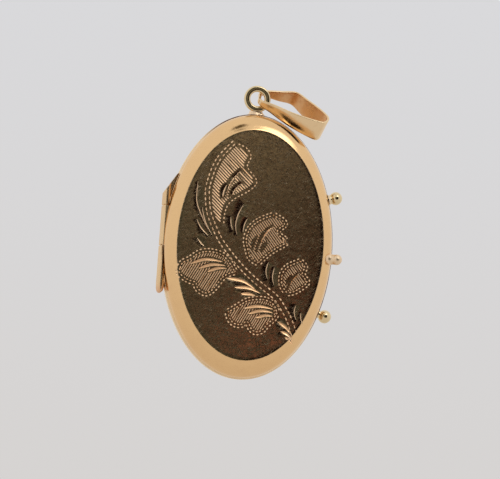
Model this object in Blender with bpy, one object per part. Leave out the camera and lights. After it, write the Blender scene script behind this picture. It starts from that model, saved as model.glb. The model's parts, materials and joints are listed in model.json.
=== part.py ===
"""Oval family locket: two covers that open from both sides of a centre picture frame.

Metres, +Z up. The locket stands upright with its engraved front towards -Y.
The origin is the centre of the back cover's flat face. Solids are drawn about the
centre frame's middle plane and set forward of the origin by half the closed depth.
"""
import math

import bmesh
import bpy
from mathutils import Vector

MM = 0.001
SEGMENTS = 48                      # sides of every oval

# Covers
COVER_HALF_WIDTH = 10.90 * MM      # at the rim
COVER_HALF_HEIGHT = 16.92 * MM
COVER_DEPTH = 2.10 * MM            # rim to flat face
FACE_SCALE = 0.888                 # flat face against rim oval
BEVEL_SWEEP = math.radians(65)     # arc of the convex bevel, upright at the rim
BEVEL_STEPS = 5
WALL = 0.35 * MM

# Centre frame
FRAME_HALF_DEPTH = 0.75 * MM
FRAME_LIP = 0.18 * MM              # how far its edge stands outside the covers
GAP = 0.03 * MM                    # fitting clearance between pieces
RIM_Y = FRAME_HALF_DEPTH + GAP     # rim plane of each cover
MIDDLE_Y = -(RIM_Y + COVER_DEPTH)  # the frame's middle plane, seen from the origin

# Picture seats: insets are measured inward from the cover's rim oval
SEAT_INSET = 1.20 * MM             # wall of the recess that holds card, window and rim
LEDGE_INSET = 1.60 * MM
OPENING_INSET = 1.95 * MM          # inner edge of the retaining rims
FLANGE_INSET = 0.44 * MM
SEAT_BODY_INSET = 0.85 * MM
FLANGE_DEPTH = 0.22 * MM
SEAT_DEPTH = 0.90 * MM
LEDGE_DEPTH = 0.69 * MM
GROOVE_INSET = 1.00 * MM           # the divider's groove in the band
GROOVE_HALF = 0.14 * MM
DIVIDER_HALF = 0.11 * MM

# Snap ridges, opposite the hinge
CATCH_HALF_LENGTH = 2.0 * MM
CATCH_WIDTH = 0.25 * MM
CATCH_INSET = 0.56 * MM
CATCH_HEIGHT = 0.17 * MM
CATCH_ROOM_INSET = 0.25 * MM       # recess in the cover that takes the ridge
CATCH_ROOM_WIDTH = 0.75 * MM
CATCH_ROOM_SPARE = 0.20 * MM

# Pictures: card, clear window and retaining rim, measured out from the middle plane in the
# frame, and in from the rim plane in a cover
FRAME_LEVELS = {"card": (0.14 * MM, 0.27 * MM), "window": (0.30 * MM, 0.48 * MM),
                "rim": (0.51 * MM, 0.70 * MM)}
COVER_LEVELS = {"card": (0.66 * MM, 0.51 * MM), "window": (0.48 * MM, 0.28 * MM),
                "rim": (0.25 * MM, 0.06 * MM)}
RIM_CHAMFER = 0.35                 # share of a retaining rim's thickness

# Hinges: one line of three knuckles for each cover
HINGE_X = -10.85 * MM
HINGE_Y = 0.60 * MM                # axis distance from the middle plane
KNUCKLE_RADIUS = 0.45 * MM
BORE_RADIUS = 0.22 * MM
PIN_RADIUS = 0.19 * MM
SWING_RADIUS = 0.50 * MM           # groove that gives the knuckles room
HINGE_TOP = 8.60 * MM
HINGE_UPPER_JOINT = 4.36 * MM
HINGE_LOWER_JOINT = -0.77 * MM
HINGE_BOTTOM = -6.70 * MM
KNUCKLE_GAP = 0.05 * MM
KNUCKLE_CHAMFER = 0.06 * MM
TAIL_CHAMFER = 0.18 * MM           # rounded lower end of each hinge line
HINGE_SIDES = 20
WEB_HALF = 0.29 * MM
WEB_REACH = 2.2 * MM               # from the axis in towards the oval, before trimming
PIN_OVERHANG = 0.14 * MM
PIN_DOME = 0.08 * MM
GROOVE_SPARE = 0.10 * MM           # how far the room for the knuckles runs past them
SLANT_LOW = (-11.30 * MM, 5.95 * MM)   # the upper knuckles are filed off along this line
SLANT_HIGH = (-9.58 * MM, 8.65 * MM)

# Ring and bail
RING_Z = 19.18 * MM
RING_RADIUS = 1.36 * MM            # to the middle of the wire
RING_WIRE = 0.37 * MM
FOOT_HALF_WIDTH = 0.77 * MM
FOOT_HALF_DEPTH = 0.42 * MM
FOOT_TOP = 17.62 * MM
BAIL_TILT = math.radians(17)       # long axis below +X where it has fallen over
BAIL_WIRE_ANGLE = math.radians(5)  # where the bail crosses the ring's wire, below +X
BAIL_TWIST = math.radians(43)      # about its own long axis
BAIL_THICKNESS = 0.30 * MM
BAIL_HALF_WIDTHS = (0.28 * MM, 1.55 * MM)   # at the ring and at the wide fold
BAIL_FLARE = 0.85                  # under 1: most of the widening comes near the ring
BAIL_EASE = 0.09 * MM              # rounding of the strip's edges
BAIL_STEPS = 4                     # between two points of the loop
# The loop seen along the strip's width, from the middle of the ring's wire: along the bail
# and towards its rear leaf. It runs from the fold in the ring over the bent rear leaf,
# round the wide fold and back along the straighter front leaf.
BAIL_LOOP = ((-0.92, 0.12), (-0.45, 1.08), (1.50, 2.35), (3.35, 3.15), (4.90, 2.20),
             (6.90, 0.75), (7.95, -0.45), (7.80, -1.60), (6.90, -2.10), (3.60, -2.00),
             (1.00, -1.35), (-0.55, -0.80))

# Knobs: height, root distance from the middle plane, lean out of the plane, reach
BALL_RADIUS = 0.79 * MM
STEM_RADIUS = 0.40 * MM
SOLDER_RADIUS = 0.64 * MM
KNOB_ROOT = 0.45 * MM              # length trimmed away where a knob meets the oval
KNOB_SIDES = 16
RING_STEPS = 30
WIRE_SIDES = 12
FRAME_KNOB = {"z": 6.90 * MM, "y": 0.0, "lean": 0.0, "reach": 1.05 * MM}
FRONT_KNOB = {"z": -0.95 * MM, "y": -2.08 * MM, "lean": math.radians(-30), "reach": 0.90 * MM}
BACK_KNOB = {"z": -7.60 * MM, "y": 1.65 * MM, "lean": 0.0, "reach": 1.38 * MM}

GOLD = (0.80, 0.56, 0.31)
PALE_GOLD = (0.86, 0.70, 0.48)
ROSE_GOLD = (0.72, 0.42, 0.25)
DARK_GOLD = (0.55, 0.36, 0.18)
CARD = (0.80, 0.76, 0.66)
CLEAR = (0.90, 0.92, 0.92)

bodies = {}
cutters = {}


def clear_scene():
    for obj in list(bpy.data.objects):
        bpy.data.objects.remove(obj, do_unlink=True)


def add_body(name, pivot):
    """An empty on the body's joint axis; its pieces are parented to it."""
    empty = bpy.data.objects.new(name, None)
    empty.location = Vector((0.0, MIDDLE_Y, 0.0)) + Vector(pivot)
    bpy.context.collection.objects.link(empty)
    bodies[name] = (empty, Vector(pivot))


def principled(name, colour, roughness, metallic):
    material = bpy.data.materials.new(name)
    material.use_nodes = True
    shader = material.node_tree.nodes["Principled BSDF"]
    shader.inputs["Base Color"].default_value = (*colour, 1.0)
    shader.inputs["Roughness"].default_value = roughness
    shader.inputs["Metallic"].default_value = metallic
    return material


def gold(name, colour=GOLD, roughness=0.25):
    return principled(name, colour, roughness, 1.0)


# Shapes ---------------------------------------------------------------------

def oval(half_width, half_height, y):
    turn = 2.0 * math.pi / SEGMENTS
    return [Vector((half_width * math.cos(i * turn), y, half_height * math.sin(i * turn)))
            for i in range(SEGMENTS)]


def inset_oval(inset, y):
    return oval(COVER_HALF_WIDTH - inset, COVER_HALF_HEIGHT - inset, y)


def circle(centre, across, along, radius, count):
    """A ring of points about centre in the plane of two unit directions."""
    turn = 2.0 * math.pi / count
    return [centre + radius * (math.cos(i * turn) * across + math.sin(i * turn) * along)
            for i in range(count)]


def loft(name, rings, closed=False):
    """Bridge equal rings into one solid: capped ends, or closed back onto the first."""
    bm = bmesh.new()
    loops = [[bm.verts.new(point) for point in ring] for ring in rings]
    pairs = list(zip(loops, loops[1:]))
    if closed:
        pairs.append((loops[-1], loops[0]))
    else:
        bm.faces.new(loops[0])
        bm.faces.new(loops[-1])
    for first, second in pairs:
        for i in range(len(first)):
            j = (i + 1) % len(first)
            bm.faces.new((first[i], first[j], second[j], second[i]))
    bmesh.ops.recalc_face_normals(bm, faces=bm.faces)
    mesh = bpy.data.meshes.new(name)
    bm.to_mesh(mesh)
    bm.free()
    mesh.shade_smooth()
    mesh.set_sharp_from_angle(angle=math.radians(35))
    return mesh


def box(name, low, high):
    corners = [(low.x, low.z), (high.x, low.z), (high.x, high.z), (low.x, high.z)]
    rings = [[Vector((x, y, z)) for x, z in corners] for y in (low.y, high.y)]
    return loft(name, rings)


def rod(name, x, y, z_low, z_high, radius, count):
    """An upright round bar."""
    rings = [circle(Vector((x, y, z)), Vector((1, 0, 0)), Vector((0, 1, 0)), radius, count)
             for z in (z_low, z_high)]
    return loft(name, rings)


def place(name, mesh, body, material):
    """Make the mesh an object of the body, in its own place."""
    empty, pivot = bodies[body]
    obj = bpy.data.objects.new(name, mesh)
    obj.data.materials.append(material)
    obj.parent = empty
    obj.location = -pivot
    bpy.context.collection.objects.link(obj)
    return obj


def add_cutter(name, mesh):
    cutter = bpy.data.objects.new(name, mesh)
    cutter.location = (0.0, MIDDLE_Y, 0.0)
    cutter.hide_render = True
    cutter.display_type = "WIRE"
    bpy.context.collection.objects.link(cutter)
    cutters[name] = cutter


def combine(obj, cutter, operation="DIFFERENCE"):
    modifier = obj.modifiers.new(cutter, "BOOLEAN")
    modifier.operation = operation
    modifier.solver = "EXACT"
    modifier.object = cutters[cutter]


# Covers ---------------------------------------------------------------------

def bevel_point(phi):
    """Share of the way from rim to face, in and outwards, at an angle of the bevel."""
    inward = (1.0 - math.cos(phi)) / (1.0 - math.cos(BEVEL_SWEEP))
    outward = math.sin(phi) / math.sin(BEVEL_SWEEP)
    return inward, outward


def cover_rings(side, steps, margin=0.0, depth=COVER_DEPTH):
    """Ovals of the bevel from rim to face; margin moves them out, depth sets the height."""
    rings = []
    for step in range(steps + 1):
        inward, outward = bevel_point(BEVEL_SWEEP * step / steps)
        scale = 1.0 - inward * (1.0 - FACE_SCALE)
        rings.append(oval(COVER_HALF_WIDTH * scale + margin, COVER_HALF_HEIGHT * scale + margin,
                          side * (RIM_Y + outward * depth)))
    return rings


def cover_shell(cover, side):
    outer = cover_rings(side, BEVEL_STEPS)
    inner = cover_rings(side, 3, margin=-1.1 * WALL, depth=COVER_DEPTH - WALL)
    mesh = loft(cover + "_shell", list(reversed(outer)) + inner)
    shell = place(cover + "_shell", mesh, cover + "_cover", gold(cover + "_shell"))
    combine(shell, cover + "_groove")


def seat_ring(cover, side):
    """Stepped ring soldered in the cover's mouth, with a ledge under the picture."""
    profile = [(FLANGE_INSET, GAP), (SEAT_INSET, GAP),
               (SEAT_INSET, LEDGE_DEPTH), (LEDGE_INSET, LEDGE_DEPTH),
               (LEDGE_INSET, SEAT_DEPTH), (SEAT_BODY_INSET, SEAT_DEPTH),
               (SEAT_BODY_INSET, FLANGE_DEPTH), (FLANGE_INSET, FLANGE_DEPTH)]
    rings = [inset_oval(inset, side * (RIM_Y + depth)) for inset, depth in profile]
    mesh = loft(cover + "_seat_ring", rings, closed=True)
    ring = place(cover + "_seat_ring", mesh, cover + "_cover",
                 gold(cover + "_seat_ring", PALE_GOLD, 0.22))
    combine(ring, cover + "_groove")
    combine(ring, cover + "_catch_room")


def picture(prefix, body, levels):
    """Card, clear window and retaining rim, each between two levels along Y."""
    inset = SEAT_INSET + GAP
    finishes = {"card": principled(prefix + "_card", CARD, 0.85, 0.0),
                "window": principled(prefix + "_window", CLEAR, 0.08, 0.0)}
    for piece, finish in finishes.items():
        name = prefix + "_" + piece
        rings = [inset_oval(inset, y) for y in levels[piece]]
        place(name, loft(name, rings), body, finish)
    name = prefix + "_retaining_rim"
    under, top = levels["rim"]
    chamfer = RIM_CHAMFER * abs(top - under)
    profile = [(inset, under), (OPENING_INSET, under),
               (OPENING_INSET, under + math.copysign(chamfer, top - under)),
               (OPENING_INSET - chamfer, top), (inset, top)]
    rings = [inset_oval(distance, y) for distance, y in profile]
    place(name, loft(name, rings, closed=True), body, gold(name, PALE_GOLD, 0.2))


def cover_picture(cover, side):
    levels = {piece: [side * (RIM_Y + depth) for depth in pair]
              for piece, pair in COVER_LEVELS.items()}
    picture(cover, cover + "_cover", levels)


# Centre frame ---------------------------------------------------------------

def frame_band():
    half = FRAME_HALF_DEPTH
    profile = [(-FRAME_LIP, -half), (SEAT_INSET, -half),
               (SEAT_INSET, -GROOVE_HALF), (GROOVE_INSET, -GROOVE_HALF),
               (GROOVE_INSET, GROOVE_HALF), (SEAT_INSET, GROOVE_HALF),
               (SEAT_INSET, half), (-FRAME_LIP, half)]
    rings = [inset_oval(inset, y) for inset, y in profile]
    band = place("frame_band", loft("frame_band", rings, closed=True), "frame",
                 gold("frame_band", PALE_GOLD, 0.22))
    combine(band, "front_groove")
    combine(band, "back_groove")


def frame_divider():
    rings = [inset_oval(GROOVE_INSET + GAP, y) for y in (-DIVIDER_HALF, DIVIDER_HALF)]
    place("frame_divider", loft("frame_divider", rings), "frame",
          gold("frame_divider", DARK_GOLD, 0.35))


def frame_pictures():
    for name, side in (("frame_front", -1.0), ("frame_back", 1.0)):
        levels = {piece: [side * depth for depth in pair]
                  for piece, pair in FRAME_LEVELS.items()}
        picture(name, "frame", levels)


def frame_catch(cover, side):
    """Ridge that the cover's edge clicks over."""
    high_x = COVER_HALF_WIDTH - CATCH_INSET
    ends = sorted((side * RIM_Y, side * (RIM_Y + CATCH_HEIGHT)))
    mesh = box("frame_catch_" + cover,
               Vector((high_x - CATCH_WIDTH, ends[0], -CATCH_HALF_LENGTH)),
               Vector((high_x, ends[1], CATCH_HALF_LENGTH)))
    place("frame_catch_" + cover, mesh, "frame", gold("frame_catch_" + cover, PALE_GOLD, 0.3))


# Hinges ---------------------------------------------------------------------

def tube_rings(y, z_low, z_high, tail):
    """Closed profile of a bored barrel, eased at both ends, its lower end by tail."""
    eased = KNUCKLE_CHAMFER
    profile = [(KNUCKLE_RADIUS - tail, z_low), (KNUCKLE_RADIUS, z_low + tail),
               (KNUCKLE_RADIUS, z_high - eased), (KNUCKLE_RADIUS - eased, z_high),
               (BORE_RADIUS, z_high), (BORE_RADIUS, z_low)]
    return [circle(Vector((HINGE_X, y, z)), Vector((1, 0, 0)), Vector((0, 1, 0)), radius,
                   HINGE_SIDES)
            for radius, z in profile]


def knuckle(name, body, side, z_low, z_high, tail=KNUCKLE_CHAMFER):
    """A barrel with the web that joins it to its own piece."""
    y = side * HINGE_Y
    mesh = loft(name, tube_rings(y, z_low, z_high, tail), closed=True)
    barrel = place(name, mesh, body, gold(name, ROSE_GOLD, 0.28))
    if body == "frame":
        low_y, high_y = sorted((side * (HINGE_Y - WEB_HALF), side * (FRAME_HALF_DEPTH - GAP)))
    else:
        low_y, high_y = sorted((side * (RIM_Y + GAP), side * (HINGE_Y + KNUCKLE_RADIUS)))
    web = box(name + "_web", Vector((HINGE_X, low_y, z_low + tail)),
              Vector((HINGE_X + WEB_REACH, high_y, z_high)))
    add_cutter(name + "_web", web)
    bore = rod(name + "_bore", HINGE_X, y, z_low - MM, z_high + MM, BORE_RADIUS, HINGE_SIDES)
    add_cutter(name + "_bore", bore)
    combine(barrel, name + "_web", "UNION")
    combine(barrel, "frame_room" if body == "frame" else body + "_room")
    combine(barrel, name + "_bore")
    return barrel


def hinge(cover, side):
    upper = knuckle(cover + "_hinge_upper_knuckle", "frame", side,
                    HINGE_UPPER_JOINT + KNUCKLE_GAP, HINGE_TOP)
    combine(upper, "hinge_slant")
    knuckle(cover + "_hinge_cover_knuckle", cover + "_cover", side,
            HINGE_LOWER_JOINT + KNUCKLE_GAP, HINGE_UPPER_JOINT - KNUCKLE_GAP)
    knuckle(cover + "_hinge_lower_knuckle", "frame", side,
            HINGE_BOTTOM, HINGE_LOWER_JOINT - KNUCKLE_GAP, TAIL_CHAMFER)


def hinge_pin(cover, side):
    """Pin with a domed lower end; its upper end is filed flush with the knuckle."""
    name = cover + "_hinge_pin"
    low = HINGE_BOTTOM - PIN_OVERHANG
    profile = [(0.5 * PIN_RADIUS, low), (PIN_RADIUS, low + PIN_DOME), (PIN_RADIUS, HINGE_TOP)]
    rings = [circle(Vector((HINGE_X, side * HINGE_Y, z)), Vector((1, 0, 0)), Vector((0, 1, 0)),
                    radius, KNOB_SIDES)
             for radius, z in profile]
    pin = place(name, loft(name, rings), "frame", gold(name, ROSE_GOLD, 0.3))
    combine(pin, "hinge_slant")


def hinge_slant():
    """Wedge above the line to which the upper knuckles are filed."""
    low, high = (Vector((x, 0.0, z)) for x, z in (SLANT_LOW, SLANT_HIGH))
    along = (high - low).normalized()
    away = Vector((-along.z, 0.0, along.x))
    corners = [low - along * MM, high + along * MM,
               high + along * MM + away * 4 * MM, low - along * MM + away * 4 * MM]
    rings = [[corner + Vector((0.0, y, 0.0)) for corner in corners] for y in (-2 * MM, 2 * MM)]
    add_cutter("hinge_slant", loft("hinge_slant", rings))


# Ring, bail and knobs -------------------------------------------------------

def ring_rings(wire_radius):
    rings = []
    for step in range(RING_STEPS):
        angle = 2.0 * math.pi * step / RING_STEPS
        out = Vector((math.cos(angle), 0.0, math.sin(angle)))
        centre = Vector((0.0, 0.0, RING_Z)) + RING_RADIUS * out
        rings.append(circle(centre, out, Vector((0, 1, 0)), wire_radius, WIRE_SIDES))
    return rings


def hanging_ring():
    mesh = loft("frame_ring", ring_rings(RING_WIRE), closed=True)
    place("frame_ring", mesh, "frame", gold("frame_ring", GOLD, 0.2))


def ring_foot():
    """Pad of solder between the frame's edge and the ring."""
    low = COVER_HALF_HEIGHT + FRAME_LIP + GAP
    mesh = box("frame_ring_foot", Vector((-FOOT_HALF_WIDTH, -FOOT_HALF_DEPTH, low)),
               Vector((FOOT_HALF_WIDTH, FOOT_HALF_DEPTH, FOOT_TOP)))
    foot = place("frame_ring_foot", mesh, "frame", gold("frame_ring_foot", PALE_GOLD, 0.35))
    combine(foot, "ring_room")


def closed_curve(points, steps):
    """Points of a smooth closed curve through the given ones."""
    curve = []
    count = len(points)
    for i in range(count):
        p, q, r, s = (Vector(points[(i + k) % count]) for k in (-1, 0, 1, 2))
        for step in range(steps):
            t = step / steps
            curve.append(0.5 * (2 * q + (r - p) * t + (2 * p - 5 * q + 4 * r - s) * t ** 2
                                + (3 * q - p - 3 * r + s) * t ** 3))
    return curve


def bail():
    """Tapered strip bent into a long loop through the ring."""
    along = Vector((math.cos(BAIL_TILT), 0.0, -math.sin(BAIL_TILT)))
    upward = Vector((math.sin(BAIL_TILT), 0.0, math.cos(BAIL_TILT)))
    backward = Vector((0.0, 1.0, 0.0))
    rear = math.cos(BAIL_TWIST) * backward + math.sin(BAIL_TWIST) * upward
    across = -math.sin(BAIL_TWIST) * backward + math.cos(BAIL_TWIST) * upward
    wire = Vector((RING_RADIUS * math.cos(BAIL_WIRE_ANGLE), 0.0,
                   RING_Z - RING_RADIUS * math.sin(BAIL_WIRE_ANGLE)))
    loop = [point * MM for point in closed_curve(BAIL_LOOP, BAIL_STEPS)]
    near = min(point.x for point in loop)
    far = max(point.x for point in loop)
    half = 0.5 * BAIL_THICKNESS
    rings = []
    for i, point in enumerate(loop):
        ahead = (loop[(i + 1) % len(loop)] - loop[i - 1]).normalized()
        outward = along * -ahead.y + rear * ahead.x
        share = ((point.x - near) / (far - near)) ** BAIL_FLARE
        wide = BAIL_HALF_WIDTHS[0] + (BAIL_HALF_WIDTHS[1] - BAIL_HALF_WIDTHS[0]) * share
        section = [(-wide, 0.0), (BAIL_EASE - wide, half), (wide - BAIL_EASE, half),
                   (wide, 0.0), (wide - BAIL_EASE, -half), (BAIL_EASE - wide, -half)]
        centre = wire + along * point.x + rear * point.y
        rings.append([centre + across * w + outward * t for w, t in section])
    place("bail_loop", loft("bail_loop", rings, closed=True), "bail",
          gold("bail_loop", PALE_GOLD, 0.22))


def knob(name, body, spec, edge_margin, room):
    """Ball on a short stem that flares into its solder, square to the oval's edge."""
    half_width = COVER_HALF_WIDTH + edge_margin
    half_height = COVER_HALF_HEIGHT + edge_margin
    x = half_width * math.sqrt(1.0 - (spec["z"] / half_height) ** 2)
    edge = Vector((x, spec["y"], spec["z"]))
    outward = Vector((x / half_width ** 2, 0.0, spec["z"] / half_height ** 2)).normalized()
    axis = (math.cos(spec["lean"]) * outward
            + math.sin(spec["lean"]) * Vector((0.0, 1.0, 0.0)))
    side = axis.cross(Vector((0.0, 0.0, 1.0))).normalized()
    reach = spec["reach"]
    profile = [(-KNOB_ROOT, SOLDER_RADIUS), (0.04 * MM, SOLDER_RADIUS * 0.94),
               (0.14 * MM, STEM_RADIUS * 1.15), (0.24 * MM, STEM_RADIUS)]
    neck = math.asin(STEM_RADIUS / BALL_RADIUS)
    steps = 9
    for step in range(steps):
        angle = neck + (math.pi - neck) * step / steps
        profile.append((reach - BALL_RADIUS * math.cos(angle), BALL_RADIUS * math.sin(angle)))
    profile = [point for i, point in enumerate(profile) if i == 0 or point[0] > profile[i - 1][0]]
    rings = [circle(edge + axis * distance, side, side.cross(axis), radius, KNOB_SIDES)
             for distance, radius in profile]
    piece = place(name, loft(name, rings), body, gold(name, GOLD, 0.2))
    combine(piece, room)


def add_rooms():
    """Closed solids that keep each piece clear of its neighbours."""
    hinge_slant()
    for cover, side in (("front", -1.0), ("back", 1.0)):
        groove = rod(cover + "_groove", HINGE_X, side * HINGE_Y, HINGE_BOTTOM - GROOVE_SPARE,
                     HINGE_TOP + GROOVE_SPARE, SWING_RADIUS, HINGE_SIDES + 4)
        add_cutter(cover + "_groove", groove)
        rings = cover_rings(side, BEVEL_STEPS, margin=GAP, depth=COVER_DEPTH + GAP)
        add_cutter(cover + "_cover_room", loft(cover + "_cover_room", rings))
        high_x = COVER_HALF_WIDTH - CATCH_ROOM_INSET
        low_y, high_y = sorted((side * (RIM_Y - FLANGE_DEPTH),
                                side * (RIM_Y + FLANGE_DEPTH + GAP)))
        half_length = CATCH_HALF_LENGTH + CATCH_ROOM_SPARE
        room = box(cover + "_catch_room", Vector((high_x - CATCH_ROOM_WIDTH, low_y, -half_length)),
                   Vector((high_x, high_y, half_length)))
        add_cutter(cover + "_catch_room", room)
    rings = [inset_oval(-FRAME_LIP - GAP, y) for y in (-2 * MM, 2 * MM)]
    add_cutter("frame_room", loft("frame_room", rings))
    add_cutter("ring_room", loft("ring_room", ring_rings(RING_WIRE + GAP), closed=True))


def build():
    clear_scene()
    add_body("frame", (0.0, 0.0, 0.0))
    add_body("front_cover", (HINGE_X, -HINGE_Y, 0.0))
    add_body("back_cover", (HINGE_X, HINGE_Y, 0.0))
    add_body("bail", (0.0, 0.0, RING_Z))
    add_rooms()
    frame_band()
    frame_divider()
    frame_pictures()
    for cover, side in (("front", -1.0), ("back", 1.0)):
        cover_shell(cover, side)
        seat_ring(cover, side)
        cover_picture(cover, side)
        frame_catch(cover, side)
        hinge(cover, side)
        hinge_pin(cover, side)
    hanging_ring()
    ring_foot()
    bail()
    knob("frame_knob", "frame", FRAME_KNOB, FRAME_LIP, "frame_room")
    knob("front_knob", "front_cover", FRONT_KNOB, -0.37 * MM, "front_cover_room")
    knob("back_knob", "back_cover", BACK_KNOB, -0.15 * MM, "back_cover_room")


build()
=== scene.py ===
"""Looks for the oval family locket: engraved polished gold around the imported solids."""
import json
from math import asin, copysign, cos, hypot, pi, radians, sin, sqrt, tan

import bmesh
import bpy
import numpy as np
from mathutils import Matrix, Vector, geometry


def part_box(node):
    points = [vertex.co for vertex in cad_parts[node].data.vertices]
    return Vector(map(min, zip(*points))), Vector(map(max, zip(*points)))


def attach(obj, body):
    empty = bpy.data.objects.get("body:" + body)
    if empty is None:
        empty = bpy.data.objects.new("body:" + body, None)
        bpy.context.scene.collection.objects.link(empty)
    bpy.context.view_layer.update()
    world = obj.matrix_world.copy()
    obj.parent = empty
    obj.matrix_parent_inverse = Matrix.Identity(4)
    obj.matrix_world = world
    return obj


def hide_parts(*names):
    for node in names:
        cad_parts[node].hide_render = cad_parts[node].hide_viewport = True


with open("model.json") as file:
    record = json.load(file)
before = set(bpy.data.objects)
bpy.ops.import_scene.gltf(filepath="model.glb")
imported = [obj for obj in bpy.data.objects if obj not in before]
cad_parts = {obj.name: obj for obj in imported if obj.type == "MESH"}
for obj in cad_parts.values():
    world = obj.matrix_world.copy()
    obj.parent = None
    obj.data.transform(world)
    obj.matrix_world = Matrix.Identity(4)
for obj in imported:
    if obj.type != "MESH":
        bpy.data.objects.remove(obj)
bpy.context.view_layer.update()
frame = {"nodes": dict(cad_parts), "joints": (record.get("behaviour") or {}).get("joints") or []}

MM = 0.001
SEGMENTS = 256

# Reference sizes, read from the solids
SHELL_LOW, SHELL_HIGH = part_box("front_shell")
BAND_LOW, BAND_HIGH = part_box("frame_band")
MIDDLE_Y = 0.5 * (BAND_LOW.y + BAND_HIGH.y)
COVER_HALF_WIDTH = SHELL_HIGH.x
COVER_HALF_HEIGHT = SHELL_HIGH.z
COVER_DEPTH = SHELL_HIGH.y - SHELL_LOW.y
RIM_OFFSET = MIDDLE_Y - SHELL_HIGH.y
FACE_SCALE = 0.888
BEVEL_SWEEP = radians(65)
ROLL_WIDTH = 0.50 * MM  # the face's rolled-over edge
ROLL_RISE = 0.5 * ROLL_WIDTH / tan(BEVEL_SWEEP)
ROLL_SHARE = 0.975  # outside this the face keeps its polish
FACE_CROWN = 0.05 * MM
BEVEL_DEPTH = COVER_DEPTH - FACE_CROWN - ROLL_RISE
WALL = 0.35 * MM
SLAB = (MIDDLE_Y - 2 * MM, MIDDLE_Y + 2 * MM)  # deeper than any piece that it cuts
HINGES = {joint["child"]: Vector(joint["pos_m"]) for joint in frame["joints"]}
GROOVE_RADIUS = 0.50 * MM
GROOVE_SPARE = 0.10 * MM
HINGE_TOP = 8.60 * MM
TAIL_HEIGHTS = (-6.8 * MM, -5.4 * MM)  # where the hinge's colour changes
UP = Vector((0.0, 0.0, 1.0))
AWAY = Vector((0.0, 1.0, 0.0))

# The frame's lip beyond the covers and the seam beside it, then the insets and depths of the
# picture seats, inward from the cover's rim
FRAME_LIP = 0.18 * MM
# SEAM_WIDTH: half the width of the band's strip round the covers that takes the seam's painted
# shade
SEAM_WIDTH = 0.17 * MM
BAND_EASING = 0.42 * MM
GAP = 0.03 * MM
SEAT_INSET = 1.20 * MM
LEDGE_INSET = 1.60 * MM
OPENING_INSET = 1.95 * MM
FLANGE_INSET = 0.44 * MM
SEAT_BODY_INSET = 0.85 * MM
FLANGE_DEPTH = 0.22 * MM
LEDGE_DEPTH = 0.69 * MM
DIVIDER_GROOVE_INSET = 1.00 * MM
DIVIDER_GROOVE_HALF = 0.14 * MM
CATCH_ROOM_SPARE = 0.20 * MM

# Hinge barrels
KNUCKLE_RADIUS = 0.45 * MM
BORE_RADIUS = 0.22 * MM
PIN_RADIUS = 0.19 * MM
WEB_REACH = 2.2 * MM
BLUNT_TAPER = (0.06 * MM, 0.06 * MM)  # a knuckle's lower end: inward and along
TAIL_TAPER = (0.21 * MM, 1.20 * MM)
WEB_DEPTHS = {"frame": (0.31 * MM, 0.72 * MM), "cover": (0.81 * MM, 1.05 * MM)}
SLANT_LOW = Vector((-11.30 * MM, 0.0, 5.95 * MM))
SLANT_HIGH = Vector((-9.58 * MM, 0.0, 8.65 * MM))

# Bail: how far it hangs below level, where it crosses the ring's wire, its turn about its
# length, its section, and its loop in millimetres from the wire (along it, towards the back)
BAIL_TILT = radians(17)
BAIL_WIRE_ANGLE = radians(5)
BAIL_TWIST = radians(43)
BAIL_HALF_THICKNESS = 0.15 * MM
BAIL_HALF_WIDTHS = (0.28 * MM, 1.55 * MM)
BAIL_FLARE = 0.75
BAIL_EDGE = 0.10 * MM
BAIL_LOOP = ((-1.10, 0.12), (-0.95, 1.30), (1.50, 2.35), (3.35, 3.15), (4.90, 2.20),
             (6.90, 0.75), (7.95, -0.45), (7.80, -1.60), (6.90, -2.10), (3.60, -2.00),
             (1.00, -1.35), (-0.85, -0.95))

# Ring: the worn wire's extra width, its depth as a share of that, how square it has worn
RING_WEAR = 0.03 * MM
RING_FLATNESS = 0.85
RING_SQUARENESS = 3.2
FOOT_SPREAD = 1.7  # the solder's run along the frame's edge
FOOT_SINK = 0.05 * MM

# Knobs: body, height, root distance from the middle plane, lean, reach, edge margin, then
# the radii of the ball and the stem
SOLDER_FLARE = 0.12 * MM
SOLDER_HEIGHT = 0.30 * MM
SOLDER_EDGE = 0.16 * MM  # where the solder's colour ends
KNOB_ROOT = 0.45 * MM
KNOBS = {
    "frame_knob": ("frame", 6.90 * MM, 0.0, 0.0, 1.05 * MM, FRAME_LIP, 0.85 * MM,
                   0.60 * MM),
    "front_knob": ("front_cover", -0.95 * MM, -2.08 * MM, radians(-30), 0.92 * MM,
                   -0.37 * MM, 0.68 * MM, 0.65 * MM),
    "back_knob": ("back_cover", -7.60 * MM, 1.65 * MM, 0.0, 1.50 * MM, -0.15 * MM, 0.87 * MM,
                  0.50 * MM),
}

# Scuffs of the face: turn, shift, scale and colour of each set of short streaks
WORN, DULL = (0.98, 0.80, 0.55), (0.30, 0.20, 0.12)
SCUFFS = ((0.35, 0.0, 1150.0, WORN), (-0.25, 0.011, 1300.0, DULL), (-0.9, 0.023, 1050.0, WORN),
          (1.3, 0.031, 1200.0, DULL), (0.8, 0.043, 1350.0, DULL), (0.1, 0.057, 800.0, DULL),
          (-0.4, 0.071, 900.0, WORN))

# A cover's material slots
BEVEL_SLOT, CUT_SLOT, FACE_SLOT, BROAD_SLOT = range(4)

# Cuts, in millimetres: the half width from which one is broad, the dashes and the hatching,
# then the grid of points that carries the face between them and its distance from a cut
BROAD_CUT = 0.15
DASH_DEPTH = 0.046
HATCH_DEPTH = 0.042
HATCH_MARGIN = 0.05
HATCH_SHORTEST = 0.15
FACE_GRID = 0.8
GRID_CLEARANCE = 0.45
GRID_SHARE = 0.86  # how far out the grid reaches
ROLL_RINGS = ((0.2, 256), (0.4, 256), (0.6, 256), (0.8, 192), (1.0, 192), (1.7, 128), (2.6, 96))


# --- Materials

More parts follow.
